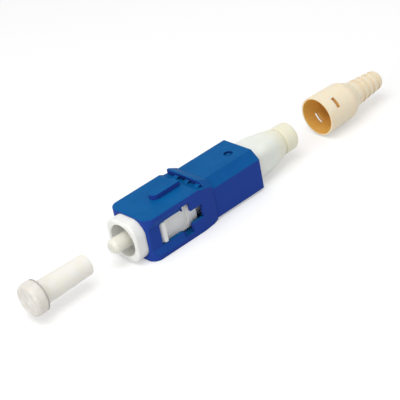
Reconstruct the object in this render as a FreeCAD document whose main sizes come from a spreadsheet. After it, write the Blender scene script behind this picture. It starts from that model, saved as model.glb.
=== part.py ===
"""A push-pull fibre-optic connector with its dust cap and its strain-relief boot.

Frame: millimetres, +X from the mating end to the cable end, +Z up to the key side. The origin
is on the underside of the outer housing, half way along it, and every turned piece is coaxial
with the line y = 0, z = axis_height. The dust cap and the boot stand off on that line, ahead of
the ferrule and behind the rear body, and slide on along it.
"""
import FreeCAD, Part
import math
import os
import Sketcher

# ---------------------------------------------------------------- driving dimensions
SIZES = {
    # outer housing, outside
    "axis_height": 3.7,            # fibre axis above the underside
    "housing_length": 24.25,
    "front_length": 13.75,         # wide section, from the front face back to the step
    "front_width": 9.0,
    "front_rise": 3.7,             # top of the wide section above the fibre axis
    "front_corner": 1.6,           # plan radius of the two front corners
    "edge_round": 0.15,
    "taper_length": 3.0,           # the wide section narrows over this length before the step
    "taper_side": 0.4,
    "under_length": 1.2,           # its underside rises over this length before the step
    "taper_under": 0.32,
    "rear_width": 7.8,
    "rear_rise": 3.3,              # top of the narrow section above the fibre axis
    "rear_bottom": 0.36,           # underside of the narrow section above the underside
    "bevel_width": 1.6,            # long bevel on the narrow section's -Y upper edge
    "bevel_drop": 1.4,
    "bevel_run": 2.4,              # the bevel starts this far ahead of the step
    "bevel_start": 0.35,           # its drop where it starts
    "bevel_end": 1.5,              # its drop on the wide section's side at the step
    "rear_round": 0.12,
    # valley, ridge, key, lips and gate dimple on top of the housing
    "ridge_back": 1.7,             # front face of the ridge ahead of the step
    "ridge_rise": 0.4,             # crest above the wide section's top
    "ridge_crest": 0.4,
    "ridge_slope": 1.6,            # run of the slope behind the crest
    "ridge_width": 8.2,
    "valley_depth": 0.4,           # hollow across the top, ahead of the ridge
    "valley_floor": 0.6,
    "valley_slope": 0.9,
    "key_width": 1.8,
    "key_rise": 0.8,
    "key_length": 5.35,
    "key_gap": 1.8,                # from the key's rear end to the ridge
    "key_corner": 0.85,
    "lip_width": 0.9,
    "lip_length": 0.75,
    "lip_rise": 0.35,              # above the valley's floor
    "lip_first": 3.05,             # of the lip nearest the bevelled side, from the middle
    "lip_pitch": 2.45,
    "dimple_radius": 0.75,
    "dimple_depth": 0.3,
    "dimple_back": 2.8,
    # side channels and windows of the housing
    "channel_depth": 0.55,
    "channel_height": 3.8,
    "channel_flare": 1.0,          # height of each sloped ledge of the channel
    "channel_length": 6.85,
    "window_gap": 0.25,            # from the window's front edge to the latch lug
    "window_length": 4.35,
    "window_height": 3.8,
    "window_corner": 0.6,          # the window's upper front corner
    "notch_length": 1.6,
    "notch_rise": 0.75,
    "slot_height": 2.2,
    "slot_length": 2.4,
    "relief_depth": 0.6,           # recess inside each wall, beside the plug frame
    "relief_height": 5.4,
    # plug frame
    "plug_lead": 1.85,             # its face ahead of the housing's
    "plug_length": 12.25,
    "plug_width": 6.75,
    "plug_corner": 2.2,
    "plug_gap": 0.1,               # to the housing, each side
    "plug_round": 0.35,
    "plug_step": 0.45,             # lower by this, above and below, at its rear end
    "plug_step_length": 1.0,
    "nose_radius": 2.7,            # bore round the ferrule
    "nose_lead": 0.15,
    "stop_wall": 0.6,
    "stop_radius": 1.7,
    "chamber_radius": 2.4,
    "lug_setback": 4.65,
    "lug_ramp": 0.4,
    "lug_land": 0.5,
    "lug_proud": 0.62,
    "lug_height": 3.4,
    "pocket_length": 4.75,
    "pocket_depth": 0.4,
    "pocket_height": 4.4,
    "core_travel": 0.9,            # slide of the core in the housing
    "core_gap": 0.1,               # left at the end of that slide
    # ferrule, its flange and guide tube
    "ferrule_radius": 1.25,
    "ferrule_length": 10.5,
    "ferrule_lead": 2.3,           # tip ahead of the plug frame
    "ferrule_chamfer": 0.4,
    "ferrule_chamfer_run": 0.5,
    "ferrule_seat": 2.6,           # length held in the flange
    "fibre_bore_radius": 0.063,
    "funnel_radius": 0.45,
    "funnel_length": 1.1,
    "flange_flats": 4.0,
    "flange_thickness": 1.6,
    "barrel_radius": 1.35,
    "barrel_length": 3.2,
    "tube_radius": 0.6,
    "tube_wall": 0.12,
    "tube_length": 9.4,
    # spring
    "spring_radius": 1.95,
    "spring_wire": 0.45,
    "spring_length": 8.4,
    "spring_turns": 8.0,
    "spring_gap": 0.1,
    # rear body
    "spigot_radius": 2.65,
    "spigot_gap": 0.05,
    "spigot_length": 2.1,          # inside the plug frame
    "collar_setback": 2.1,         # from the plug frame's end to the block
    "block_width": 6.2,
    "block_height": 5.4,
    "block_corner": 1.3,
    "block_gap": 0.1,              # to the housing's rear cavity, each side
    "block_reach": 2.5,            # behind the housing
    "cone_length": 4.9,
    "cone_middle": 2.6,            # where the middle section of the cone stands
    "cone_middle_width": 5.7,
    "cone_middle_height": 5.2,
    "cone_middle_corner": 1.9,
    "neck_radius": 2.15,
    "neck_length": 0.55,
    "neck_slope": 0.18,            # run of the knob's sloped front
    "knob_radius": 2.4,
    "knob_length": 2.55,
    "knob_round": 0.55,
    "way_radius": 1.0,             # fibre way through the rear body
    "way_lead": 0.5,
    "tab_width": 2.0,
    "tab_length": 1.0,
    "tab_crest": 0.33,
    "tab_rise": 0.32,
    "tab_gap": 0.1,
    "tab_setback": 0.6,            # from the plug frame's end to the tab
    # dust cap
    "cap_gap": 4.9,                # mouth ahead of the ferrule's tip
    "cap_length": 11.3,
    "cap_head_radius": 2.7,
    "cap_head_length": 2.1,
    "cap_head_round": 0.6,
    "cap_root_radius": 1.95,
    "cap_neck_round": 0.7,
    "cap_mouth_radius": 1.7,
    "cap_mouth_round": 0.15,
    "cap_bore_gap": 0.02,
    "cap_bore_depth": 9.2,
    # boot
    "boot_gap": 6.8,               # mouth behind the knob's end
    "boot_length": 15.2,
    "boot_mouth_radius": 3.45,
    "boot_lip": 0.35,
    "boot_shoulder_radius": 3.28,
    "boot_shoulder": 6.3,          # from the mouth
    "boot_shoulder_round": 1.6,
    "boot_tail_start": 8.3,
    "boot_tail_radius": 2.25,
    "boot_end_radius": 1.6,
    "boot_end_round": 1.0,
    "boot_neck_round": 1.0,
    "boot_flare": 3.2,             # depth of the conical mouth
    "boot_grip_gap": 0.06,         # round the knob
    "boot_socket": 5.7,
    "boot_funnel": 0.9,
    "cable_radius": 0.55,          # hole for the buffered fibre
    "boot_slot_back": 2.0,
    "boot_slot_width": 0.7,
    "boot_slot_span": 1.9,
    "boot_slot_angle": 42.0,
    "groove_first": 9.4,
    "groove_pitch": 1.35,
    "groove_width": 0.5,
    "groove_depth": 0.16,
}
TAIL_GROOVES = 4
RIDGE_LIPS = 3
WALL_SHARE = 0.9    # most of a wall that a round takes
NEARLY_ROUND = 0.98    # corner of a square section that is drawn almost as a circle

doc = FreeCAD.newDocument("fibre_connector")
sheet = doc.addObject("Spreadsheet::Sheet", "dims")
for row, (alias, value) in enumerate(SIZES.items(), start=1):
    sheet.set(f"A{row}", alias)
    sheet.set(f"B{row}", str(value))
    sheet.setAlias(f"B{row}", alias)
doc.recompute()


def d(alias):
    """Expression that reads one cell of the sheet."""
    return f"dims.{alias}"


def value(expression):
    """Number that an expression gives now."""
    return float(sheet.evalExpression(str(expression)))


# ---------------------------------------------------------------- stations along X
HOUSING_FRONT = f"(-{d('housing_length')} / 2)"
HOUSING_REAR = f"({d('housing_length')} / 2)"
STEP = f"({HOUSING_FRONT} + {d('front_length')})"
FRONT_TOP = f"({d('axis_height')} + {d('front_rise')})"
REAR_TOP = f"({d('axis_height')} + {d('rear_rise')})"
VALLEY = f"({FRONT_TOP} - {d('valley_depth')})"
BEVEL_SLOPE = f"({d('bevel_drop')} / {d('bevel_width')})"
BEVEL_OUTSIDE = f"({d('front_width')} / 2 + {d('taper_side')})"
RIDGE_FRONT = f"({STEP} - {d('ridge_back')})"
CHANNEL_REAR = f"({HOUSING_FRONT} + {d('channel_length')})"
PLUG_FRONT = f"({HOUSING_FRONT} - {d('plug_lead')})"
PLUG_REAR = f"({PLUG_FRONT} + {d('plug_length')})"
CAVITY_STEP = f"({PLUG_REAR} + {d('core_travel')} + {d('core_gap')})"
PLUG_STEP = f"({PLUG_REAR} - {d('plug_step_length')})"
CAVITY_TALL_END = f"({CAVITY_STEP} - {d('plug_step_length')})"
LUG_FRONT = f"({PLUG_FRONT} + {d('lug_setback')})"
LUG_REAR = f"({LUG_FRONT} + {d('lug_ramp')} + {d('lug_land')})"
POCKET_REAR = f"({LUG_REAR} + {d('pocket_length')})"
WINDOW_FRONT = f"({LUG_FRONT} - {d('window_gap')})"
WINDOW_REAR = f"({WINDOW_FRONT} + {d('window_length')})"
NOTCH_REAR = f"({WINDOW_REAR} + {d('notch_length')})"
SLOT_REAR = f"({NOTCH_REAR} + {d('slot_length')})"
FERRULE_TIP = f"({PLUG_FRONT} - {d('ferrule_lead')})"
FERRULE_REAR = f"({FERRULE_TIP} + {d('ferrule_length')})"
FLANGE_FRONT = f"({FERRULE_REAR} - {d('ferrule_seat')})"
FLANGE_REAR = f"({FLANGE_FRONT} + {d('flange_thickness')})"
BARREL_REAR = f"({FLANGE_REAR} + {d('barrel_length')})"
SPRING_SEAT = f"({FLANGE_REAR} + {d('spring_length')})"
SPIGOT_FRONT = f"({PLUG_REAR} - {d('spigot_length')})"
BLOCK_FRONT = f"({PLUG_REAR} + {d('collar_setback')})"
BLOCK_REAR = f"({HOUSING_REAR} + {d('block_reach')})"
CONE_REAR = f"({BLOCK_REAR} + {d('cone_length')})"
KNOB_FRONT = f"({CONE_REAR} + {d('neck_length')})"
KNOB_REAR = f"({KNOB_FRONT} + {d('knob_length')})"
CAP_MOUTH = f"({FERRULE_TIP} - {d('cap_gap')})"
CAP_END = f"({CAP_MOUTH} - {d('cap_length')})"
BOOT_MOUTH = f"({KNOB_REAR} + {d('boot_gap')})"
BOOT_END = f"({BOOT_MOUTH} + {d('boot_length')})"


# ---------------------------------------------------------------- drawing helpers
def plane_of(body, role):
    """One of the body's own origin planes."""
    return next(item for item in body.Origin.OriginFeatures if item.Role == role)


def new_body(label, on_axis=True):
    """A body, lifted to the fibre axis when it is drawn about that axis."""
    body = doc.addObject("PartDesign::Body", label)
    body.Label = label
    if on_axis:
        body.setExpression("Placement.Base.z", d("axis_height"))
    return body


def new_sketch(body, name, role, offset=None):
    """A sketch on an origin plane, moved along the plane's normal by an expression."""
    sketch = body.newObject("Sketcher::SketchObject", name)
    sketch.AttachmentSupport = [(plane_of(body, role), "")]
    sketch.MapMode = "FlatFace"
    if offset is not None:
        sketch.setExpression("AttachmentOffset.Base.z", offset)
    return sketch


def pin_point(sketch, geometry, position, across, up):
    """Hold a sketch point at two expressions measured from the sketch's origin."""
    for kind, expression in (("DistanceX", across), ("DistanceY", up)):
        constraint = Sketcher.Constraint(kind, -1, 1, geometry, position, value(expression))
        index = sketch.addConstraint(constraint)
        sketch.renameConstraint(index, f"{kind}_{geometry}_{position}")
        sketch.setExpression(f"Constraints.{kind}_{geometry}_{position}", expression)


def corner_arc(before, corner, after, radius):
    """Tangent points, centre and sense of turn of a rounded corner."""
    back = (before - corner).normalize()
    ahead = (after - corner).normalize()
    half = math.acos(max(-1.0, min(1.0, back.dot(ahead)))) / 2
    start = corner + back * (radius / math.tan(half))
    end = corner + ahead * (radius / math.tan(half))
    centre = corner + (back + ahead).normalize() * (radius / math.sin(half))
    turns_left = back.cross(ahead).z < 0
    return start, end, centre, turns_left


def draw_outline(sketch, corners):
    """Closed outline through corners (across, up) or (across, up, radius), all expressions."""
    count = len(corners)
    points = [FreeCAD.Vector(value(c[0]), value(c[1]), 0) for c in corners]
    arcs = {}
    for i, corner in enumerate(corners):
        if len(corner) == 3:
            arcs[i] = corner_arc(points[i - 1], points[i], points[(i + 1) % count],
                                 value(corner[2]))
    lines = []
    for i in range(count):
        following = (i + 1) % count
        start = arcs[i][1] if i in arcs else points[i]
        end = arcs[following][0] if following in arcs else points[following]
        lines.append(sketch.addGeometry(Part.LineSegment(start, end), False))
    for i, corner in enumerate(corners):
        line_in = lines[i - 1]
        line_out = lines[i]
        if i not in arcs:
            sketch.addConstraint(Sketcher.Constraint("Coincident", line_in, 2, line_out, 1))
            pin_point(sketch, line_out, 1, corner[0], corner[1])
            continue
        start, end, centre, turns_left = arcs[i]
        first, last = (start, end) if turns_left else (end, start)
        angle_first = math.atan2(first.y - centre.y, first.x - centre.x)
        angle_last = math.atan2(last.y - centre.y, last.x - centre.x)
        circle = Part.Circle(centre, FreeCAD.Vector(0, 0, 1), (first - centre).Length)
        arc = sketch.addGeometry(Part.ArcOfCircle(circle, angle_first, angle_last), False)
        apex = sketch.addGeometry(Part.Point(points[i]), True)
        pin_point(sketch, apex, 1, corner[0], corner[1])
        entry, leave = (1, 2) if turns_left else (2, 1)
        sketch.addConstraint(Sketcher.Constraint("Tangent", line_in, 2, arc, entry))
        sketch.addConstraint(Sketcher.Constraint("Tangent", arc, leave, line_out, 1))
        sketch.addConstraint(Sketcher.Constraint("PointOnObject", apex, 1, line_in))
        sketch.addConstraint(Sketcher.Constraint("PointOnObject", apex, 1, line_out))
        radius = Sketcher.Constraint("Radius", arc, value(corner[2]))
        index = sketch.addConstraint(radius)
        sketch.renameConstraint(index, f"radius_{arc}")
        sketch.setExpression(f"Constraints.radius_{arc}", corner[2])


def draw_box(sketch, left, right, bottom, top, radius=None):
    """Rectangle between four expressions, with its corners rounded when a radius is given."""
    corners = [(left, bottom), (right, bottom), (right, top), (left, top)]
    if radius is not None:
        corners = [corner + (radius,) for corner in corners]
    draw_outline(sketch, corners)


def draw_circle(sketch, across, up, radius):
    """Circle with its centre and radius held by expressions."""
    centre = FreeCAD.Vector(value(across), value(up), 0)
    circle = Part.Circle(centre, FreeCAD.Vector(0, 0, 1), value(radius))
    geometry = sketch.addGeometry(circle, False)
    pin_point(sketch, geometry, 3, across, up)
    index = sketch.addConstraint(Sketcher.Constraint("Radius", geometry, value(radius)))
    sketch.renameConstraint(index, f"radius_{geometry}")
    sketch.setExpression(f"Constraints.radius_{geometry}", radius)


def extrude(body, kind, name, sketch, length, both=False, backwards=False):
    """Pad or pocket of a sketch; both sides share the length when both is set."""
    feature = body.newObject(f"PartDesign::{kind}", name)
    feature.Profile = sketch
    feature.setExpression("Length", length)
    feature.SideType = "Symmetric" if both else "One side"
    feature.Reversed = backwards
    return feature


def turn(body, kind, name, sketch):
    """Full revolution or groove of a sketch about the body's X axis."""
    feature = body.newObject(f"PartDesign::{kind}", name)
    feature.Profile = sketch
    feature.ReferenceAxis = (sketch, ["H_Axis"])
    feature.Angle = 360
    return feature


def turned_solid(body, name, corners):
    """Body of revolution: corners are (x, radius) or (x, radius, round)."""
    sketch = new_sketch(body, f"{name}_profile", "XZ_Plane")
    draw_outline(sketch, corners)
    return turn(body, "Revolution", name, sketch)


def turned_cut(body, name, corners):
    """Groove about the X axis: corners as for turned_solid."""
    sketch = new_sketch(body, f"{name}_profile", "XZ_Plane")
    draw_outline(sketch, corners)
    return turn(body, "Groove", name, sketch)


def section_pad(body, name, start, end, corners):
    """Pad of a section drawn across X, between two stations."""
    sketch = new_sketch(body, f"{name}_section", "YZ_Plane", start)
    draw_outline(sketch, corners)
    return extrude(body, "Pad", name, sketch, f"({end}) - ({start})")


def box_corners(half_width, low, high, radius):
    """Corners of a rounded rectangle that is centred across."""
    return [(f"-({half_width})", low, radius), (half_width, low, radius),
            (half_width, high, radius), (f"-({half_width})", high, radius)]


def edges_of(shape, wanted):
    """Names of the shape's edges whose middle and length pass a test."""
    names = []
    for number, edge in enumerate(shape.Edges, start=1):
        middle = edge.valueAt((edge.FirstParameter + edge.LastParameter) / 2)
        if wanted(edge, middle):
            names.append(f"Edge{number}")
    return names


def round_edges(body, name, base, wanted, radius):
    """Fillet of the edges of the last feature that pass a test."""
    doc.recompute()
    feature = body.newObject("PartDesign::Fillet", name)
    feature.Base = (base, edges_of(base.Shape, wanted))
    feature.setExpression("Radius", radius)
    return feature


def near(first, second, tolerance=1e-4):
    return abs(first - second) < tolerance


# ---------------------------------------------------------------- outer housing
def front_section(body):
    """Wide front block: rounded front corners in plan, narrowing before the step."""
    half = f"{d('front_width')} / 2"
    waist = f"({half} - {d('taper_side')})"
    start = f"({STEP} - {d('taper_length')})"
    plan = new_sketch(body, "front_plan", "XY_Plane")
    draw_outline(plan, [
        (HOUSING_FRONT, f"-({half})", d("front_corner")),
        (start, f"-({half})"),
        (STEP, f"-({waist})"),
        (STEP, waist),
        (start, half),
        (HOUSING_FRONT, half, d("front_corner")),
    ])
    block = extrude(body, "Pad", "front_block", plan, FRONT_TOP)
    heights = (0.0, value(FRONT_TOP))

    def top_or_bottom(edge, middle):
        on_step = near(middle.x, value(STEP))
        return any(near(middle.z, height) for height in heights) and not on_step

    round_edges(body, "front_rounds", block, top_or_bottom, d("edge_round"))
    under = new_sketch(body, "under_taper_profile", "XZ_Plane")
    rise = f"({STEP} - {d('under_length')})"
    past = f"({STEP} + {d('taper_under')})"
    draw_outline(under, [
        (rise, f"-{d('taper_under')}"),
        (past, f"-{d('taper_under')}"),
        (past, d("taper_under")),
        (STEP, d("taper_under")),
        (rise, "0"),
    ])
    extrude(body, "Pocket", "under_taper", under, f"2 * {d('front_width')}", both=True)


def rear_section(body):
    """Narrow rear block."""
    half = f"({d('rear_width')} / 2)"
    rear = section_pad(body, "rear_block", STEP, HOUSING_REAR,
                       box_corners(half, d("rear_bottom"), REAR_TOP, d("rear_round")))
    end = value(HOUSING_REAR)
    round_edges(body, "rear_rounds", rear, lambda edge, middle: near(middle.x, end),
                f"{d('rear_round')} / 2")


def valley(body):
    """Shallow hollow across the top, ahead of the ridge."""
    above = f"({FRONT_TOP} + {d('valley_depth')})"
    foot = f"({RIDGE_FRONT} - {d('valley_floor')})"
    side = new_sketch(body, "valley_profile", "XZ_Plane")
    draw_outline(side, [
        (f"{foot} - {d('valley_slope')}", FRONT_TOP),
        (foot, VALLEY),
        (f"{STEP} + {d('valley_depth')}", VALLEY),
        (f"{STEP} + {d('valley_depth')}", above),
        (f"{foot} - {d('valley_slope')}", above),
    ])
    extrude(body, "Pocket", "valley", side, f"2 * {d('front_width')}", both=True)


def ridge(body):
    """Cross ridge ahead of the step, sloping back on to the rear section."""
    crest = f"({FRONT_TOP} + {d('ridge_rise')})"
    base = f"({VALLEY} - {d('edge_round')})"
    crest_end = f"({RIDGE_FRONT} + {d('ridge_crest')})"
    side = new_sketch(body, "ridge_profile", "XZ_Plane")
    draw_outline(side, [
        (RIDGE_FRONT, base),
        (f"{crest_end} + {d('ridge_slope')}", base),
        (f"{crest_end} + {d('ridge_slope')}", REAR_TOP),
        (crest_end, crest),
        (RIDGE_FRONT, crest),
    ])
    extrude(body, "Pad", "ridge", side, d("ridge_width"), both=True)


def bevel_section(body, name, station, low):
    """Triangle outside the bevel: low is its height at the outer side, taken at a station."""
    roof = f"({FRONT_TOP} + {d('ridge_rise')} + {d('key_rise')})"
    sketch = new_sketch(body, f"{name}_section", "YZ_Plane", station)
    draw_outline(sketch, [
        (f"-{BEVEL_OUTSIDE}", low),
        (f"({roof} - {low}) / {BEVEL_SLOPE} - {BEVEL_OUTSIDE}", roof),
        (f"-{BEVEL_OUTSIDE}", roof),
    ])
    return sketch


def bevels(body):
    """Long bevel on the -Y upper edge, which grows from the wide section to the step."""
    proud = f"{d('taper_side')} * {BEVEL_SLOPE}"
    first = bevel_section(body, "bevel_start", f"({STEP} - {d('bevel_run')})",
                          f"({FRONT_TOP} - {d('bevel_start')} - {proud})")
    last = bevel_section(body, "bevel_end", STEP, f"({FRONT_TOP} - {d('bevel_end')} - {proud})")
    cut = body.newObject("PartDesign::SubtractiveLoft", "shoulder_bevel")
    cut.Profile = first
    cut.Sections = [last]
    cut.Ruled = True
    past = f"({BEVEL_OUTSIDE} - {d('rear_width')} / 2) * {BEVEL_SLOPE}"
    rear = bevel_section(body, "rear_bevel", STEP,
                         f"({REAR_TOP} - {d('bevel_drop')} - {past})")
    extrude(body, "Pocket", "rear_bevel", rear, d("housing_length"), backwards=True)


def key_bar(body):
    """Raised key with a rounded nose, ahead of the ridge."""
    half = f"({d('key_width')} / 2)"
    tail = f"({RIDGE_FRONT} - {d('key_gap')})"
    nose = f"({tail} - {d('key_length')})"
    plan = new_sketch(body, "key_plan", "XY_Plane", f"{FRONT_TOP} - {d('edge_round')}")
    draw_outline(plan, [
        (nose, f"-{half}", d("key_corner")),
        (tail, f"-{half}"),
        (tail, half),
        (nose, half, d("key_corner")),
    ])
    return extrude(body, "Pad", "key", plan, f"{d('key_rise')} + {d('edge_round')}")


def lips(body):
    """Small sloped lips in the valley, at the foot of the ridge."""
    sunk = f"{VALLEY} - {d('edge_round')}"
    for number in range(RIDGE_LIPS):
        offset = f"{d('lip_first')} - {number} * {d('lip_pitch')}"
        profile = new_sketch(body, f"lip_{number + 1}_profile", "XZ_Plane", offset)
        draw_outline(profile, [
            (f"{RIDGE_FRONT} - {d('lip_length')}", sunk),
            (f"{RIDGE_FRONT} + {d('ridge_crest')}", sunk),
            (f"{RIDGE_FRONT} + {d('ridge_crest')}", f"{VALLEY} + {d('lip_rise')}"),
            (RIDGE_FRONT, f"{VALLEY} + {d('lip_rise')}"),
            (f"{RIDGE_FRONT} - {d('lip_length')}", VALLEY),
        ])
        extrude(body, "Pad", f"lip_{number + 1}", profile, d("lip_width"), both=True)


def dimple(body):
    """Round gate dimple near the rear end of the top."""
    plan = new_sketch(body, "dimple_plan", "XY_Plane", REAR_TOP)
    draw_circle(plan, f"{HOUSING_REAR} - {d('dimple_back')}", "0", d("dimple_radius"))
    extrude(body, "Pocket", "dimple", plan, d("dimple_depth"))


def cavities(body):
    """Front cavity for the plug frame, recesses beside it, rear cavity for the rear body."""
    half = f"({d('plug_width')} / 2 + {d('plug_gap')})"
    lower = f"({half} - {d('plug_step')})"
    for name, start, end, high in (
            ("front_cavity", HOUSING_FRONT, CAVITY_TALL_END, half),
            ("stepped_cavity", CAVITY_TALL_END, CAVITY_STEP, lower)):
        section = new_sketch(body, f"{name}_section", "YZ_Plane", start)
        draw_box(section, f"-{half}", half, f"{d('axis_height')} - {high}",
                 f"{d('axis_height')} + {high}", f"{d('plug_corner')} + {d('plug_gap')}")
        extrude(body, "Pocket", name, section, f"{end} - {start}", backwards=True)
    deep = f"({d('plug_width')} / 2 + {d('relief_depth')})"
    relief = new_sketch(body, "side_relief_section", "YZ_Plane", CHANNEL_REAR)
    draw_box(relief, f"-{deep}", deep, f"{d('axis_height')} - {d('relief_height')} / 2",
             f"{d('axis_height')} + {d('relief_height')} / 2")
    extrude(body, "Pocket", "side_reliefs", relief, f"{CAVITY_STEP} - {CHANNEL_REAR}",
            backwards=True)
    wide = f"({d('block_width')} / 2 + {d('block_gap')})"
    tall = f"({d('block_height')} / 2 + {d('block_gap')})"
    rear = new_sketch(body, "rear_cavity_section", "YZ_Plane", HOUSING_REAR)
    draw_box(rear, f"-{wide}", wide, f"{d('axis_height')} - {tall}",
             f"{d('axis_height')} + {tall}", f"{d('block_corner')} + {d('block_gap')}")
    extrude(body, "Pocket", "rear_cavity", rear,
            f"{HOUSING_REAR} - {CAVITY_STEP} + {d('core_gap')}")


def side_channels(body):
    """Channel along each side for the adapter's latch arms, with sloped ledges."""
    face = f"({d('front_width')} / 2)"
    floor = f"({face} - {d('channel_depth')})"
    outside = f"({face} + {d('channel_depth')})"
    low = f"({d('axis_height')} - {d('channel_height')} / 2)"
    high = f"({d('axis_height')} + {d('channel_height')} / 2)"
    flare = d("channel_flare")
    for side_name, sign in (("near", "-"), ("far", "")):
        mouth = new_sketch(body, f"channel_{side_name}_section", "YZ_Plane", HOUSING_FRONT)
        draw_outline(mouth, [
            (f"{sign}{floor}", low),
            (f"{sign}{face}", f"{low} - {flare}"),
            (f"{sign}{outside}", f"{low} - {flare}"),
            (f"{sign}{outside}", f"{high} + {flare}"),
            (f"{sign}{face}", f"{high} + {flare}"),
            (f"{sign}{floor}", high),
        ])
        extrude(body, "Pocket", f"channel_{side_name}", mouth, d("channel_length"),
                backwards=True)


def windows(body):
    """Window through both sides: wide front part, two notches and a rear slot."""
    low = f"({d('axis_height')} - {d('window_height')} / 2)"
    high = f"({d('axis_height')} + {d('window_height')} / 2)"
    notch_low = f"({low} - {d('notch_rise')})"
    notch_high = f"({high} + {d('notch_rise')})"
    slot_low = f"({d('axis_height')} - {d('slot_height')} / 2)"
    slot_high = f"({d('axis_height')} + {d('slot_height')} / 2)"
    side = new_sketch(body, "window_profile", "XZ_Plane")
    draw_outline(side, [
        (WINDOW_FRONT, low),
        (WINDOW_REAR, low),
        (WINDOW_REAR, notch_low),
        (NOTCH_REAR, notch_low),
        (NOTCH_REAR, slot_low),
        (SLOT_REAR, slot_low),
        (SLOT_REAR, slot_high),
        (NOTCH_REAR, slot_high),
        (NOTCH_REAR, notch_high),
        (WINDOW_REAR, notch_high),
        (WINDOW_REAR, high),
        (WINDOW_FRONT, high, d("window_corner")),
    ])
    extrude(body, "Pocket", "windows", side, f"2 * {d('front_width')}", both=True)


def make_outer_housing():
    body = new_body("outer_housing", on_axis=False)
    front_section(body)
    valley(body)
    rear_section(body)
    ridge(body)
    lips(body)
    bevels(body)
    key_bar(body)
    dimple(body)
    cavities(body)
    side_channels(body)
    windows(body)
    return body


# ---------------------------------------------------------------- plug frame
def make_plug_frame():
    """Inner frame that holds the ferrule and carries the latch lugs."""
    body = new_body("plug_frame")
    half = f"({d('plug_width')} / 2)"
    lower = f"({half} - {d('plug_step')})"
    section_pad(body, "frame_rear", PLUG_STEP, PLUG_REAR,
                box_corners(half, f"-{lower}", lower, d("plug_corner")))
    frame = section_pad(body, "frame", PLUG_FRONT, PLUG_STEP,
                        box_corners(half, f"-{half}", half, d("plug_corner")))
    front = value(PLUG_FRONT)
    round_edges(body, "front_round", frame, lambda edge, middle: near(middle.x, front),
                d("plug_round"))
    for side_name, sign in (("near", "-"), ("far", "")):
        lug = new_sketch(body, f"lug_{side_name}_plan", "XY_Plane")
        proud = f"({half} + {d('lug_proud')})"
        root = f"({half} - {d('pocket_depth')})"
        draw_outline(lug, [
            (LUG_FRONT, f"{sign}{half}"),
            (f"{LUG_FRONT} + {d('lug_ramp')}", f"{sign}{proud}"),
            (LUG_REAR, f"{sign}{proud}"),
            (LUG_REAR, f"{sign}{root}"),
            (LUG_FRONT, f"{sign}{root}"),
        ])
        extrude(body, "Pad", f"lug_{side_name}", lug, d("lug_height"), both=True)
        hollow = new_sketch(body, f"pocket_{side_name}_plan", "XY_Plane")
        draw_outline(hollow, [
            (LUG_REAR, f"{sign}{root}"),
            (POCKET_REAR, f"{sign}{root}"),
            (POCKET_REAR, f"{sign}{proud}"),
            (LUG_REAR, f"{sign}{proud}"),
        ])
        extrude(body, "Pocket", f"pocket_{side_name}", hollow, d("pocket_height"), both=True)
    stop_front = f"({FLANGE_FRONT} - {d('stop_wall')})"
    spigot_bore = f"({d('spigot_radius')} + {d('spigot_gap')})"
    turned_cut(body, "bores", [
        (PLUG_FRONT, "0"),
        (PLUG_REAR, "0"),
        (PLUG_REAR, spigot_bore),
        (f"{SPIGOT_FRONT} - {d('spigot_gap')}", spigot_bore),
        (f"{SPIGOT_FRONT} - {d('spigot_gap')}", d("chamber_radius")),
        (FLANGE_FRONT, d("chamber_radius")),
        (FLANGE_FRONT, d("stop_radius")),
        (stop_front, d("stop_radius")),
        (stop_front, d("nose_radius")),
        (f"{PLUG_FRONT} + {d('nose_lead')}", d("nose_radius")),
        (PLUG_FRONT, f"{d('nose_radius')} + {d('nose_lead')}"),
    ])
    slots = new_sketch(body, "tab_slot_plan", "XY_Plane")
    slot_half = f"({d('tab_width')} / 2 + {d('tab_gap')})"
    slot_rear = f"({PLUG_REAR} - {d('tab_setback')} + {d('tab_gap')})"
    draw_box(slots, f"{slot_rear} - {d('tab_length')} - 2 * {d('tab_gap')}", slot_rear,
             f"-{slot_half}", slot_half)
    extrude(body, "Pocket", "tab_slots", slots, f"2 * {d('plug_width')}", both=True)
    return body


# ---------------------------------------------------------------- ferrule group
def make_ferrule():
    """Ceramic ferrule with its fibre bore and rear funnel."""
    body = new_body("ferrule")
    tip_flat = f"({d('ferrule_radius')} - {d('ferrule_chamfer')})"
    turned_solid(body, "ferrule_turning", [
        (FERRULE_TIP, d("fibre_bore_radius")),
        (f"{FERRULE_REAR} - {d('funnel_length')}", d("fibre_bore_radius")),
        (FERRULE_REAR, d("funnel_radius")),
        (FERRULE_REAR, d("ferrule_radius")),
        (f"{FERRULE_TIP} + {d('ferrule_chamfer_run')}", d("ferrule_radius")),
        (FERRULE_TIP, tip_flat),
    ])
    return body


def make_ferrule_flange():
    """Hexagonal flange and barrel pressed on the ferrule's rear end."""
    body = new_body("ferrule_flange")
    corner = f"({d('flange_flats')} / sqrt(3))"
    sixth = [(f"{corner} * {math.cos(math.radians(60 * k)):.6f}",
              f"{corner} * {math.sin(math.radians(60 * k)):.6f}") for k in range(6)]
    section_pad(body, "hexagon", FLANGE_FRONT, FLANGE_REAR, sixth)
    turned_solid(body, "barrel", [
        (f"{FLANGE_REAR} - {d('flange_thickness')} / 2", "0"),
        (BARREL_REAR, "0"),
        (BARREL_REAR, d("barrel_radius")),
        (f"{FLANGE_REAR} - {d('flange_thickness')} / 2", d("barrel_radius")),
    ])
    turned_cut(body, "flange_bores", [
        (FLANGE_FRONT, "0"),
        (BARREL_REAR, "0"),
        (BARREL_REAR, d("tube_radius")),
        (FERRULE_REAR, d("tube_radius")),
        (FERRULE_REAR, d("ferrule_radius")),
        (FLANGE_FRONT, d("ferrule_radius")),
    ])
    return body


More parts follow.
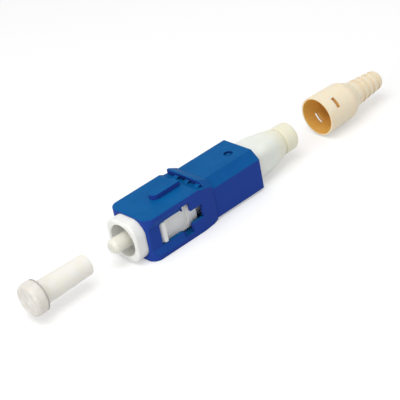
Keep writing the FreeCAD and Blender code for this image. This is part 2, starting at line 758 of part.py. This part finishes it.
def make_guide_tube():
    """Thin tube that leads the buffered fibre to the ferrule's funnel."""
    body = new_body("guide_tube")
    bore = f"({d('tube_radius')} - {d('tube_wall')})"
    turned_solid(body, "tube", [
        (FERRULE_REAR, bore),
        (f"{FERRULE_REAR} + {d('tube_length')}", bore),
        (f"{FERRULE_REAR} + {d('tube_length')}", d("tube_radius")),
        (FERRULE_REAR, d("tube_radius")),
    ])
    return body


def make_spring():
    """Compression spring between the flange and the seat in the rear body."""
    body = new_body("spring")
    wire = f"({d('spring_wire')} / 2)"
    section = new_sketch(body, "wire_section", "XZ_Plane")
    clear = f"({wire} + {d('spring_gap')} / 2)"
    draw_circle(section, f"{FLANGE_REAR} + {clear}", f"{d('spring_radius')} - {wire}", wire)
    coil = body.newObject("PartDesign::AdditiveHelix", "coil")
    coil.Profile = section
    coil.ReferenceAxis = (section, ["H_Axis"])
    coil.Mode = "height-turns-angle"
    coil.setExpression("Height", f"{d('spring_length')} - 2 * {clear}")
    coil.setExpression("Turns", d("spring_turns"))
    return body


# ---------------------------------------------------------------- rear body
def make_rear_body():
    """Rear body: spigot and tabs in the plug frame, block, tapering cone and knob."""
    body = new_body("rear_body")
    half = f"({d('block_width')} / 2)"
    tall = f"({d('block_height')} / 2)"
    section_pad(body, "block", BLOCK_FRONT, BLOCK_REAR,
                box_corners(half, f"-{tall}", tall, d("block_corner")))
    sections = []
    end = d("knob_radius")
    almost = f"({end} * {NEARLY_ROUND})"
    middle = f"{BLOCK_REAR} + {d('cone_middle')}"
    for name, station, wide, high, corner in (
            ("cone_root", BLOCK_REAR, half, tall, d("block_corner")),
            ("cone_middle", middle, f"({d('cone_middle_width')} / 2)",
             f"({d('cone_middle_height')} / 2)", d("cone_middle_corner")),
            ("cone_end", CONE_REAR, end, end, almost)):
        sketch = new_sketch(body, f"{name}_section", "YZ_Plane", station)
        draw_outline(sketch, box_corners(wide, f"-{high}", high, corner))
        sections.append(sketch)
    cone = body.newObject("PartDesign::AdditiveLoft", "cone")
    cone.Profile = sections[0]
    cone.Sections = sections[1:]
    cone.Ruled = False
    turned_solid(body, "knob", [
        (CONE_REAR, "0"),
        (KNOB_REAR, "0"),
        (KNOB_REAR, d("knob_radius"), d("knob_round")),
        (KNOB_FRONT, d("knob_radius")),
        (f"{KNOB_FRONT} - {d('neck_slope')}", d("neck_radius")),
        (CONE_REAR, d("neck_radius")),
    ])
    turned_solid(body, "spigot", [
        (SPIGOT_FRONT, "0"),
        (BLOCK_FRONT, "0"),
        (BLOCK_FRONT, d("spigot_radius")),
        (SPIGOT_FRONT, d("spigot_radius")),
    ])
    tab_rear = f"({PLUG_REAR} - {d('tab_setback')})"
    tab_front = f"({tab_rear} - {d('tab_length')})"
    tab_top = f"({d('spigot_radius')} + {d('tab_rise')})"
    root = f"({d('spigot_radius')} - {d('tab_rise')})"
    for side_name, sign in (("upper", ""), ("lower", "-")):
        profile = new_sketch(body, f"tab_{side_name}_profile", "XZ_Plane")
        draw_outline(profile, [
            (tab_front, f"{sign}{root}"),
            (tab_rear, f"{sign}{root}"),
            (tab_rear, f"{sign}{tab_top}"),
            (f"{tab_rear} - {d('tab_crest')}", f"{sign}{tab_top}"),
            (tab_front, f"{sign}{d('spigot_radius')}"),
        ])
        extrude(body, "Pad", f"tab_{side_name}", profile, d("tab_width"), both=True)
    spring_bore = f"({d('spring_radius')} + {d('spring_gap')})"
    turned_cut(body, "rear_bores", [
        (SPIGOT_FRONT, "0"),
        (KNOB_REAR, "0"),
        (KNOB_REAR, f"{d('way_radius')} + {d('way_lead')}"),
        (f"{KNOB_REAR} - {d('way_lead')}", d("way_radius")),
        (SPRING_SEAT, d("way_radius")),
        (SPRING_SEAT, spring_bore),
        (SPIGOT_FRONT, spring_bore),
    ])
    return body


# ---------------------------------------------------------------- dust cap and boot
def make_dust_cap():
    """Closed cap: flanged head and a slightly tapered tube that grips the ferrule."""
    body = new_body("dust_cap")
    head_rear = f"({CAP_END} + {d('cap_head_length')})"
    bore = f"({d('ferrule_radius')} + {d('cap_bore_gap')})"
    bore_end = f"({CAP_MOUTH} - {d('cap_bore_depth')})"
    turned_solid(body, "cap_turning", [
        (CAP_END, "0"),
        (bore_end, "0"),
        (bore_end, bore),
        (CAP_MOUTH, bore),
        (CAP_MOUTH, d("cap_mouth_radius"), d("cap_mouth_round")),
        (head_rear, d("cap_root_radius"), d("cap_neck_round")),
        (head_rear, d("cap_head_radius"), d("cap_head_round")),
        (CAP_END, d("cap_head_radius"), d("cap_head_round")),
    ])
    return body


def boot_station(distance):
    """Station on the boot at a distance behind its mouth."""
    return f"({BOOT_MOUTH} + {distance})"


def make_boot():
    """Soft boot: wide conical mouth, shoulder, grooved tail with the fibre's hole."""
    body = new_body("boot")
    grip = f"({d('knob_radius')} + {d('boot_grip_gap')})"
    end_wall = f"({d('boot_end_radius')} - {d('cable_radius')})"
    end_round = f"min({d('boot_end_round')}; {WALL_SHARE} * {end_wall})"
    turned_solid(body, "boot_turning", [
        (BOOT_MOUTH, f"{d('boot_mouth_radius')} - {d('boot_lip')}"),
        (boot_station(d("boot_flare")), grip),
        (boot_station(d("boot_socket")), grip),
        (boot_station(f"{d('boot_socket')} + {d('boot_funnel')}"), d("cable_radius")),
        (BOOT_END, d("cable_radius")),
        (BOOT_END, d("boot_end_radius"), end_round),
        (boot_station(d("boot_tail_start")), d("boot_tail_radius"), d("boot_neck_round")),
        (boot_station(d("boot_shoulder")), d("boot_shoulder_radius"),
         d("boot_shoulder_round")),
        (BOOT_MOUTH, d("boot_mouth_radius")),
    ])
    for number in range(TAIL_GROOVES):
        start = f"({d('groove_first')} + {number} * {d('groove_pitch')})"
        run = f"({d('boot_length')} - {d('boot_tail_start')})"
        fall = f"(({d('boot_tail_radius')} - {d('boot_end_radius')}) / {run})"
        surface = f"({d('boot_tail_radius')} - ({start} - {d('boot_tail_start')}) * {fall})"
        floor = f"({surface} - {d('groove_depth')})"
        turned_cut(body, f"tail_groove_{number + 1}", [
            (boot_station(start), floor),
            (boot_station(f"({start} + {d('groove_width')})"), floor),
            (boot_station(f"({start} + {d('groove_width')})"), d("boot_tail_radius")),
            (boot_station(start), d("boot_tail_radius")),
        ])
    slot = new_sketch(body, "slot_plan", "XY_Plane")
    slot.AttachmentOffset = FreeCAD.Placement(
        FreeCAD.Vector(0, 0, 0), FreeCAD.Rotation(FreeCAD.Vector(1, 0, 0), 45))
    slot.setExpression("AttachmentOffset.Rotation.Angle", f"90 - {d('boot_slot_angle')}")
    slot_half = f"({d('boot_slot_span')} / 2)"
    draw_box(slot, boot_station(d("boot_slot_back")),
             boot_station(f"{d('boot_slot_back')} + {d('boot_slot_width')}"),
             f"-{slot_half}", slot_half)
    extrude(body, "Pocket", "slots", slot, f"4 * {d('boot_mouth_radius')}", both=True)
    return body


# ---------------------------------------------------------------- build, check, export
def check_document():
    """Stop if any object failed, a cut removed nothing, or a body's shape is not sound."""
    for item in doc.Objects:
        if any(word in item.State for word in ("Invalid", "Error")):
            raise RuntimeError(f"{item.Name} failed: {item.State}")
        if item.TypeId in ("PartDesign::Pocket", "PartDesign::Groove",
                           "PartDesign::SubtractiveLoft"):
            before = item.BaseFeature.Shape.Volume
            if before - item.Shape.Volume < 1e-4:
                raise RuntimeError(f"{item.Name} cuts nothing")
        if item.TypeId == "Sketcher::SketchObject" and not item.FullyConstrained:
            raise RuntimeError(f"{item.Name} is not fully constrained")
    for body in parts:
        shape = body.Shape
        if shape.isNull() or not shape.isValid() or len(shape.Solids) != 1:
            raise RuntimeError(f"{body.Label} is not one sound solid")


parts = [
    make_dust_cap(),
    make_outer_housing(),
    make_plug_frame(),
    make_ferrule(),
    make_ferrule_flange(),
    make_guide_tube(),
    make_spring(),
    make_rear_body(),
    make_boot(),
]
doc.recompute()
check_document()
os.makedirs("parts", exist_ok=True)
for part in parts:
    part.Shape.exportStep(f"parts/{part.Label}.step")
    print(part.Label, round(part.Shape.Volume, 3), "mm3")
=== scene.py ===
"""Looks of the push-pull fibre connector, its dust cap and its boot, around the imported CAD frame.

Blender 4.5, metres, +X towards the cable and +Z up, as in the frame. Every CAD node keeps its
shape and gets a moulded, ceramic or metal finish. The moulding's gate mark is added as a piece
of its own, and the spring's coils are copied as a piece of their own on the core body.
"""
import math

import bmesh
import bpy
from mathutils import Matrix, Vector

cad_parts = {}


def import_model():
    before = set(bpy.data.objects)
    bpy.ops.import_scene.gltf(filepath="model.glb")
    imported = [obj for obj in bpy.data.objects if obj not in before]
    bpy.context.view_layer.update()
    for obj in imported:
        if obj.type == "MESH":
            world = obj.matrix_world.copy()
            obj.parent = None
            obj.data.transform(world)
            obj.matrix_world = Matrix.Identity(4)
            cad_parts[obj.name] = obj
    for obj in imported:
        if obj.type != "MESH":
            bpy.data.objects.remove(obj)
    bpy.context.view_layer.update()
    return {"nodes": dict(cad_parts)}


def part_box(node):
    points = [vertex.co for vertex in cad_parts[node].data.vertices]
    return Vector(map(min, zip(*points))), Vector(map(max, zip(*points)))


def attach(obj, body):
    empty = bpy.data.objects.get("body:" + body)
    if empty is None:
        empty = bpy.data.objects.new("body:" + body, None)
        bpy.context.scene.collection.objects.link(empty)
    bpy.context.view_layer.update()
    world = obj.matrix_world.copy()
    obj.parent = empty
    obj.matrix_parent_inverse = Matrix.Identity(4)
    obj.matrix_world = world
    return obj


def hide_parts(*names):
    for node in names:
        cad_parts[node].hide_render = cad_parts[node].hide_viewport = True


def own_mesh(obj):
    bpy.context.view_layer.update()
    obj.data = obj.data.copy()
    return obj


MM = 0.001                     # millimetres to metres

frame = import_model()

AXIS_Z = (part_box("ferrule")[0].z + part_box("ferrule")[1].z) / 2
CAP_HEAD_SHADE_FADE = 5.0                 # painted shade on the cap's head fades out over this length from its head, mm
KNOB_FADE = (6.0, 3.0)         # the rear body yellows between these distances from its end, mm
BOOT_BORE = 3.2                # what lies nearer the axis than this is inside the boot, mm
BOOT_DEEP = 6.0                # depth of the boot's mouth, mm
GATE = (0.34, 0.16)            # radius and height of the gate's stub, mm
DIMPLE_BACK = 2.8              # the gate dimple's middle, ahead of the housing's rear end, mm
DIMPLE_FLOOR = 3.0             # the gate dimple's floor, above the fibre axis, mm
FLOOR_DROP = 0.02              # the floor lies this far under the part, mm
FLOOR_HALF = 3.0               # half the floor's width, m
FLOOR_GREY = 0.70              # share of the light that the floor gives back
FLOOR_LIFT = 0.38              # brightness that the floor gains where it is seen
AMBIENT = 0.74                 # brightness of the even ambient light


# ---------------------------------------------------------------- node helpers
MIX_A, MIX_B, MIX_RESULT = 6, 7, 2  # colour sockets of the Mix node


def srgb(red, green, blue):
    """Linear colour from an sRGB colour in 0 to 255."""
    linear = []
    for channel in (red, green, blue):
        share = channel / 255
        linear.append(share / 12.92 if share <= 0.04045 else ((share + 0.055) / 1.055) ** 2.4)
    return (*linear, 1.0)


class Finish:
    """One material: a Principled shader and the nodes that feed it, in millimetres."""

    def __init__(self, name, **sockets):
        self.material = bpy.data.materials.new(name)
        self.material.use_nodes = True
        self.tree = self.material.node_tree
        self.shader = self.tree.nodes["Principled BSDF"]
        for socket, value in sockets.items():
            self.set(socket.replace("_", " "), value)
        coordinates = self.add("ShaderNodeTexCoord")
        scale = self.add("ShaderNodeMapping")
        scale.inputs["Scale"].default_value = (1 / MM, 1 / MM, 1 / MM)
        self.link(coordinates.outputs["Object"], scale.inputs["Vector"])
        self.place = scale.outputs["Vector"]

    def add(self, kind, **settings):
        """New node of a kind, with its settings."""
        node = self.tree.nodes.new(kind)
        for setting, value in settings.items():
            setattr(node, setting, value)
        return node

    def link(self, output, target):
        self.tree.links.new(output, target)

    def set(self, socket, value):
        """Constant value or a node output on a shader socket."""
        if isinstance(value, bpy.types.NodeSocket):
            self.link(value, self.shader.inputs[socket])
        else:
            self.shader.inputs[socket].default_value = value

    def stretched(self, stretch):
        """The millimetre coordinates scaled differently along each axis."""
        mapping = self.add("ShaderNodeMapping")
        mapping.inputs["Scale"].default_value = stretch
        self.link(self.place, mapping.inputs["Vector"])
        return mapping.outputs["Vector"]

    def noise(self, scale, detail=3.0, roughness=0.55, place=None):
        """Noise factor with about scale features per millimetre."""
        node = self.add("ShaderNodeTexNoise")
        node.inputs["Scale"].default_value = scale
        node.inputs["Detail"].default_value = detail
        node.inputs["Roughness"].default_value = roughness
        self.link(place or self.place, node.inputs["Vector"])
        return node.outputs["Fac"]

    def spread(self, factor, low, high, start=0.0, end=1.0):
        """Factor mapped from start..end on to low..high."""
        node = self.add("ShaderNodeMapRange")
        node.inputs["From Min"].default_value = start
        node.inputs["From Max"].default_value = end
        node.inputs["To Min"].default_value = low
        node.inputs["To Max"].default_value = high
        self.link(factor, node.inputs["Value"])
        return node.outputs["Result"]

    def blend(self, factor, first, second):
        """Colour between two colours, each a colour or a node output."""
        node = self.add("ShaderNodeMix", data_type="RGBA")
        self.link(factor, node.inputs[0])
        for index, colour in ((MIX_A, first), (MIX_B, second)):
            if isinstance(colour, bpy.types.NodeSocket):
                self.link(colour, node.inputs[index])
            else:
                node.inputs[index].default_value = colour
        return node.outputs[MIX_RESULT]

    def parts_of(self, vector):
        """The three parts of a vector."""
        node = self.add("ShaderNodeSeparateXYZ")
        self.link(vector, node.inputs[0])
        return node.outputs

    def sideways(self):
        """0 where the surface faces up or down, 1 where it faces a side, from its own normal."""
        geometry = self.add("ShaderNodeNewGeometry")
        upright = self.maths("ABSOLUTE", self.parts_of(geometry.outputs["Normal"])[2])
        return self.spread(upright, 1.0, 0.0, 0.35, 0.85)

    def hollows(self, reach_mm, start, end):
        """1 in slots, corners and bores that are narrower than reach_mm, 0 in the open."""
        node = self.add("ShaderNodeAmbientOcclusion", samples=8, only_local=True)
        node.inputs["Distance"].default_value = reach_mm * MM
        return self.spread(node.outputs["AO"], 1.0, 0.0, start, end)

    def off_axis(self):
        """Distance from the fibre axis in millimetres."""
        place = self.parts_of(self.place)
        up = self.maths("SUBTRACT", place[2], AXIS_Z / MM)
        squares = self.maths("ADD", self.maths("POWER", place[1], 2.0),
                             self.maths("POWER", up, 2.0))
        return self.maths("SQRT", squares)

    def maths(self, operation, first, second=0.0):
        """Result of a sum on two values, each a number or a node output."""
        node = self.add("ShaderNodeMath", operation=operation)
        for index, value in ((0, first), (1, second)):
            if isinstance(value, bpy.types.NodeSocket):
                self.link(value, node.inputs[index])
            else:
                node.inputs[index].default_value = value
        return node.outputs[0]

    def relief(self, height, depth_mm, edge_mm=0.0):
        """Bump of a height field, on edges that are softened over edge_mm."""
        bump = self.add("ShaderNodeBump")
        bump.inputs["Strength"].default_value = 1.0
        bump.inputs["Distance"].default_value = depth_mm * MM
        self.link(height, bump.inputs["Height"])
        if edge_mm:
            bevel = self.add("ShaderNodeBevel", samples=6)
            bevel.inputs["Radius"].default_value = edge_mm * MM
            self.link(bevel.outputs["Normal"], bump.inputs["Normal"])
        self.set("Normal", bump.outputs["Normal"])


# ---------------------------------------------------------------- finishes
def moulded(name, colour, shade, rough, grain_mm, edge_mm, **sockets):
    """Satin moulded plastic: slow colour drift, spark-eroded grain and faint scuffs along X."""
    finish = Finish(name, **sockets)
    drift = finish.spread(finish.noise(0.35, detail=2.0), 0.0, 1.0, 0.35, 0.65)
    finish.colour = finish.blend(drift, colour, shade)
    finish.set("Base Color", finish.colour)
    scuffs = finish.noise(2.2, detail=4.0, place=finish.stretched((0.25, 3.0, 3.0)))
    finish.set("Roughness", finish.spread(scuffs, rough - 0.05, rough + 0.08, 0.35, 0.7))
    grain = finish.noise(14.0, detail=2.0, roughness=0.6)
    finish.relief(finish.maths("ADD", grain, finish.maths("MULTIPLY", scuffs, 0.5)),
                  grain_mm, edge_mm)
    return finish


def paint_hollow_shade(finish, reach_mm, start, end, shade_colour):
    """Painted shade: deepen the colour towards a shade colour in hollows."""
    hollow_shade = finish.hollows(reach_mm, start, end)
    finish.colour = finish.blend(hollow_shade, finish.colour, shade_colour)
    finish.set("Base Color", finish.colour)


def blue_housing():
    """Blue satin plastic; its sides are painted violet and darker as painted shade, and narrow gaps
    get painted shade almost black.
    """
    finish = moulded("blue_housing", srgb(2, 89, 152), srgb(6, 94, 158), 0.50, 0.010, 0.08,
                     IOR=1.49, Specular_IOR_Level=0.06)
    # Painted shade: faces that look sideways are painted violet and darker than the top.
    finish.colour = finish.blend(finish.sideways(), finish.colour, srgb(36, 68, 156))
    # Painted shade: slots and narrow gaps are darkened almost to black.
    paint_hollow_shade(finish, 2.2, 0.20, 0.62, srgb(5, 10, 42))
    return finish.material


def white_frame():
    finish = moulded("white_frame", srgb(240, 241, 238), srgb(245, 245, 241), 0.34, 0.006, 0.08,
                     IOR=1.49, Specular_IOR_Level=0.35, Subsurface_Weight=0.2,
                     Subsurface_Scale=0.5 * MM, Subsurface_Radius=(1.0, 0.95, 0.85))
    # Painted shade: hollows of the frame are darkened towards a warm grey.
    paint_hollow_shade(finish, 2.2, 0.05, 0.6, srgb(176, 174, 156))
    return finish.material


def white_rear():
    """Natural white plastic, a little greener than the frame and yellower towards the knob."""
    finish = moulded("white_rear", srgb(240, 245, 236), srgb(245, 248, 240), 0.34, 0.006, 0.10,
                     IOR=1.49, Specular_IOR_Level=0.35, Subsurface_Weight=0.3,
                     Subsurface_Scale=0.8 * MM, Subsurface_Radius=(1.0, 1.0, 0.8))
    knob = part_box("rear_body")[1].x / MM
    along = finish.parts_of(finish.place)[0]
    yellow = finish.spread(along, 0.0, 1.0, knob - KNOB_FADE[0], knob - KNOB_FADE[1])
    finish.colour = finish.blend(yellow, finish.colour, srgb(246, 242, 218))
    # Painted shade: hollows of the rear body are darkened towards a warm grey.
    paint_hollow_shade(finish, 2.0, 0.1, 0.7, srgb(196, 194, 176))
    return finish.material


def zirconia():
    """Ground and polished ceramic with very fine rings left by the grinding wheel."""
    finish = Finish("zirconia", IOR=1.9, Specular_IOR_Level=0.4, Subsurface_Weight=0.3,
                    Subsurface_Scale=0.5 * MM, Subsurface_Radius=(1.0, 0.95, 0.85))
    cloud = finish.noise(0.8, detail=2.0)
    finish.colour = finish.blend(cloud, srgb(235, 233, 218), srgb(240, 238, 226))
    # Painted shade: hollows of the ferrule are darkened towards a yellow-grey.
    paint_hollow_shade(finish, 1.5, 0.1, 0.7, srgb(196, 192, 170))
    rings = finish.noise(6.0, detail=3.0, place=finish.stretched((9.0, 0.3, 0.3)))
    finish.set("Roughness", finish.spread(rings, 0.12, 0.24, 0.3, 0.7))
    finish.relief(rings, 0.0015, 0.05)
    return finish.material


def milky_cap():
    """Cloudy soft polyethylene; its head end is painted greyer than the wall at its mouth, as
    painted shade against the front lamp's light on the head.
    """
    finish = Finish("milky_cap", IOR=1.5, Specular_IOR_Level=0.35, Transmission_Weight=0.05,
                    Subsurface_Weight=0.35, Subsurface_Scale=0.5 * MM,
                    Subsurface_Radius=(1.0, 0.93, 0.82))
    low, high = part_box("dust_cap")
    along = finish.parts_of(finish.place)[0]
    # Painted shade: the head end is painted darker, fading to the paler wall colour away from the
    # head.
    past_head_shade = finish.spread(along, 0.0, 1.0, low.x / MM, low.x / MM + CAP_HEAD_SHADE_FADE)
    head_shade_colour = finish.blend(past_head_shade, srgb(229, 224, 216), srgb(254, 248, 236))
    cloud = finish.spread(finish.noise(0.7, detail=3.0), 0.0, 0.6, 0.42, 0.68)
    finish.set("Base Color", finish.blend(cloud, head_shade_colour, srgb(255, 253, 248)))
    matt = finish.noise(1.2, detail=3.0)
    finish.set("Roughness", finish.spread(matt, 0.36, 0.48, 0.35, 0.65))
    finish.relief(finish.noise(2.5, detail=2.0), 0.004, 0.15)
    return finish.material


def beige_boot():
    """Soft moulded rubber, peach, with painted orange-brown shade in its deep mouth."""
    finish = Finish("beige_boot", IOR=1.48, Specular_IOR_Level=0.35, Subsurface_Weight=0.2,
                    Subsurface_Scale=0.4 * MM, Subsurface_Radius=(1.0, 0.6, 0.3))
    cloud = finish.spread(finish.noise(0.5, detail=3.0), 0.0, 1.0, 0.35, 0.65)
    finish.colour = finish.blend(cloud, srgb(255, 236, 205), srgb(255, 241, 214))
    # Painted shade: creases of the boot are darkened towards a deeper peach.
    paint_hollow_shade(finish, 1.2, 0.15, 0.75, srgb(228, 190, 134))
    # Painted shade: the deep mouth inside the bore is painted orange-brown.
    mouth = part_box("boot")[0].x / MM
    bore = finish.maths("LESS_THAN", finish.off_axis(), BOOT_BORE)
    ahead = finish.maths("LESS_THAN", finish.parts_of(finish.place)[0], mouth + BOOT_DEEP)
    mouth_shade = finish.maths("MULTIPLY", bore, ahead)
    finish.set("Base Color", finish.blend(mouth_shade, finish.colour, srgb(232, 182, 92)))
    matt = finish.noise(3.0, detail=4.0)
    finish.set("Roughness", finish.spread(matt, 0.36, 0.50, 0.35, 0.65))
    finish.relief(finish.noise(5.0, detail=3.0), 0.008, 0.12)
    return finish.material


def extruded_tube():
    return moulded("tube_plastic", srgb(230, 230, 224), srgb(236, 236, 230), 0.3, 0.004, 0.05,
                   IOR=1.49).material


def metal(name, colour, rough, along):
    """Bare metal with fine tool or drawing marks that run round or along the piece."""
    finish = Finish(name, Metallic=1.0)
    marks = finish.noise(7.0, detail=4.0, place=finish.stretched(along))
    tone = tuple(channel * 0.82 for channel in colour[:3]) + (1.0,)
    finish.set("Base Color", finish.blend(marks, tone, colour))
    finish.set("Roughness", finish.spread(marks, rough - 0.06, rough + 0.1, 0.3, 0.7))
    finish.relief(marks, 0.003, 0.05)
    return finish.material


def turned_metal():
    return metal("flange_metal", srgb(205, 203, 198), 0.26, (8.0, 0.4, 0.4))


def drawn_wire():
    return metal("spring_steel", srgb(190, 190, 192), 0.24, (1.0, 2.0, 2.0))


def dress(node, material):
    """Give a CAD node its finish."""
    slots = frame["nodes"][node].data.materials
    slots.clear()
    slots.append(material)


FINISHES = {
    "outer_housing": blue_housing,
    "plug_frame": white_frame,
    "rear_body": white_rear,
    "ferrule": zirconia,
    "ferrule_flange": turned_metal,
    "guide_tube": extruded_tube,
    "spring": drawn_wire,
    "dust_cap": milky_cap,
    "boot": beige_boot,
}
for node, make in FINISHES.items():
    dress(node, make())


# ---------------------------------------------------------------- added pieces
def turned(name, profile, steps=40):
    """Smooth closed piece turned from (radius, height) points in mm, from its foot to its crown."""
    mesh = bmesh.new()
    rings = []
    for radius, height in profile:
        rings.append([mesh.verts.new((radius * MM * math.cos(math.tau * step / steps),
                                      radius * MM * math.sin(math.tau * step / steps),
                                      height * MM)) for step in range(steps)])
    for lower, upper in zip(rings, rings[1:]):
        for step in range(steps):
            after = (step + 1) % steps
            mesh.faces.new((lower[step], lower[after], upper[after], upper[step]))
    mesh.faces.new(rings[0][::-1])
    mesh.faces.new(rings[-1])
    data = bpy.data.meshes.new(name)
    mesh.to_mesh(data)
    mesh.free()
    for face in data.polygons:
        face.use_smooth = len(face.vertices) == 4
    piece = bpy.data.objects.new(name, data)
    bpy.context.scene.collection.objects.link(piece)
    return piece


def gate_mark():
    """Stub of the moulding gate, sheared off low in the dimple on top of the housing."""
    sunk = 0.02
    radius, height = GATE
    profile = [(radius * 1.15, -sunk), (radius * 1.15, 0.0), (radius, 0.25 * height),
               (radius * 0.93, 0.8 * height), (radius * 0.8, height), (radius * 0.45, height),
               (radius * 0.35, 0.85 * height), (radius * 0.12, 0.9 * height)]
    piece = turned("housing_gate_mark", profile)
    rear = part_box("outer_housing")[1].x
    piece.location = (rear - DIMPLE_BACK * MM, 0.0, AXIS_Z + DIMPLE_FLOOR * MM)
    piece.data.materials.append(frame["nodes"]["outer_housing"].data.materials[0])
    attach(piece, "housing")


def working_spring():
    """The spring's own coils copied as a piece of their own on the core body, with the CAD spring
    hidden.
    """
    coils = frame["nodes"]["spring"]
    piece = bpy.data.objects.new("spring_coils", coils.data.copy())
    piece.matrix_world = coils.matrix_world.copy()
    bpy.context.scene.collection.objects.link(piece)
    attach(piece, "core")
    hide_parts("spring")
    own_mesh(piece)


gate_mark()
working_spring()


# ---------------------------------------------------------------- floor, world, lamps
def seen_rays(tree):
    """1 for what the camera, gloss and glass see, 0 for what lights the part."""
    path = tree.nodes.new("ShaderNodeLightPath")
    largest = path.outputs["Is Camera Ray"]
    for ray in ("Is Glossy Ray", "Is Transmission Ray"):
        either = tree.nodes.new("ShaderNodeMath")
        either.operation = "MAXIMUM"
        tree.links.new(largest, either.inputs[0])
        tree.links.new(path.outputs[ray], either.inputs[1])
        largest = either.outputs[0]
    return largest


def floor():
    """Pale floor just under the part, seen a little brighter than it lights, with its shadows."""
    sides = ((-1, -1), (1, -1), (1, 1), (-1, 1))
    corners = [(x * FLOOR_HALF, y * FLOOR_HALF, -FLOOR_DROP * MM) for x, y in sides]
    mesh = bpy.data.meshes.new("floor")
    mesh.from_pydata(corners, [], [(0, 1, 2, 3)])
    plane = bpy.data.objects.new("floor", mesh)
    bpy.context.scene.collection.objects.link(plane)
    material = bpy.data.materials.new("floor_paper")
    material.use_nodes = True
    tree = material.node_tree
    tree.nodes.clear()
    output = tree.nodes.new("ShaderNodeOutputMaterial")
    paper = tree.nodes.new("ShaderNodeBsdfDiffuse")
    paper.inputs["Color"].default_value = (FLOOR_GREY, FLOOR_GREY, FLOOR_GREY, 1.0)
    lift = tree.nodes.new("ShaderNodeEmission")
    strength = tree.nodes.new("ShaderNodeMath")
    strength.operation = "MULTIPLY"
    strength.inputs[1].default_value = FLOOR_LIFT
    total = tree.nodes.new("ShaderNodeAddShader")
    tree.links.new(seen_rays(tree), strength.inputs[0])
    tree.links.new(strength.outputs[0], lift.inputs["Strength"])
    tree.links.new(paper.outputs[0], total.inputs[0])
    tree.links.new(lift.outputs[0], total.inputs[1])
    tree.links.new(total.outputs[0], output.inputs["Surface"])
    mesh.materials.append(material)


def world():
    """Even ambient light; what the camera, gloss and glass see of it is white."""
    sky = bpy.data.worlds.new("studio")
    bpy.context.scene.world = sky
    sky.use_nodes = True
    tree = sky.node_tree
    tree.nodes.clear()
    output = tree.nodes.new("ShaderNodeOutputWorld")
    light = tree.nodes.new("ShaderNodeBackground")
    light.inputs["Strength"].default_value = AMBIENT
    seen = tree.nodes.new("ShaderNodeBackground")
    seen.inputs["Strength"].default_value = 1.0
    choose = tree.nodes.new("ShaderNodeMixShader")
    tree.links.new(seen_rays(tree), choose.inputs["Fac"])
    tree.links.new(light.outputs[0], choose.inputs[1])
    tree.links.new(seen.outputs[0], choose.inputs[2])
    tree.links.new(choose.outputs[0], output.inputs["Surface"])


def lamp(name, place_mm, target_mm, size_mm, exitance):
    """Soft square lamp; exitance is its brightness as seen, where 1 is white."""
    data = bpy.data.lights.new(name, "AREA")
    data.shape = "SQUARE"
    data.size = size_mm * MM
    data.energy = exitance * math.pi * data.size ** 2
    light = bpy.data.objects.new(name, data)
    light.location = Vector(place_mm) * MM
    aim = Vector(target_mm) * MM - light.location
    light.rotation_mode = "QUATERNION"
    light.rotation_quaternion = aim.to_track_quat("-Z", "Y")
    bpy.context.scene.collection.objects.link(light)


def lights():
    middle = (2.0, 0.0, 4.0)
    lamp("key", (-60.0, -20.0, 220.0), middle, 160.0, 2.6)
    lamp("front", (-240.0, -60.0, 90.0), middle, 140.0, 2.5)


# ---------------------------------------------------------------- camera
def camera():
    """Camera at the photograph's angle: aim point, azimuth, elevation, distance and roll."""
    aim = Vector((1.49, -0.659, 2.806)) * MM
    azimuth = math.radians(-37.48)
    elevation = math.radians(30.33)
    distance = 235.03 * MM
    roll = math.radians(-11.60)
    back = Vector((math.sin(azimuth) * math.cos(elevation),
                   -math.cos(azimuth) * math.cos(elevation),
                   math.sin(elevation)))
    data = bpy.data.cameras.new("camera")
    data.sensor_width = 36.0
    data.lens = 135.6
    data.clip_start = 0.01
    data.clip_end = 20.0
    view = bpy.data.objects.new("camera", data)
    view.location = aim + back * distance
    upright = (-back).to_track_quat("-Z", "Y")
    tilt = Matrix.Rotation(roll, 4, "Z").to_quaternion()
    view.rotation_mode = "QUATERNION"
    view.rotation_quaternion = upright @ tilt
    bpy.context.scene.collection.objects.link(view)
    bpy.context.scene.camera = view


bpy.context.scene.view_settings.view_transform = "Standard"
floor()
world()
lights()
camera()
